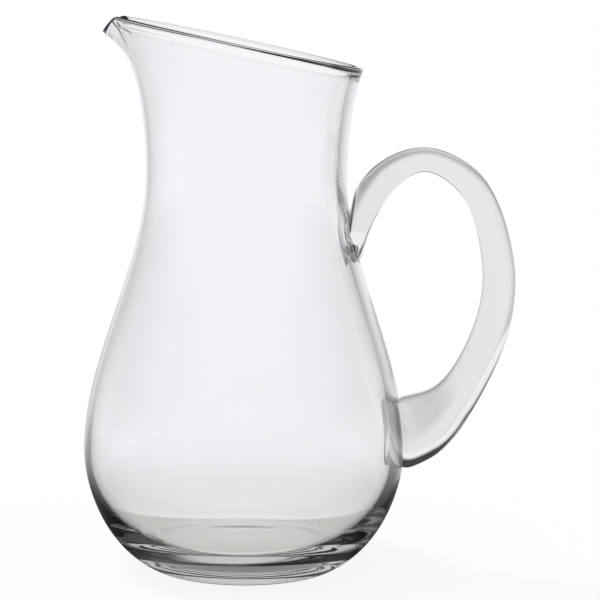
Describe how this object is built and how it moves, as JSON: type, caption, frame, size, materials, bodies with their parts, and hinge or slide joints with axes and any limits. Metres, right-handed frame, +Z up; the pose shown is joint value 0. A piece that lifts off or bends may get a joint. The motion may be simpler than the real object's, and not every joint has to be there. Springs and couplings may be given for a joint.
{
  "type": "jug",
  "caption": "Clear blown-glass jug with a pear-shaped body, sloping fire-polished rim, pulled pouring lip and an applied solid-glass handle, for serving water and other drinks.",
  "frame": {"origin": "On the table, under the middle of the whole jug's box. The body's axis stands 23.6 mm from it toward -X.", "axes": "+Z is up, the lip points toward -X and the handle toward +X."},
  "size_m": [0.1872, 0.1398, 0.2384],
  "materials": {
    "clear_glass": "fire-polished"
  },
  "bodies": {
    "root": {"body": "clear_glass", "handle": "clear_glass"}
  },
  "joints": []
}
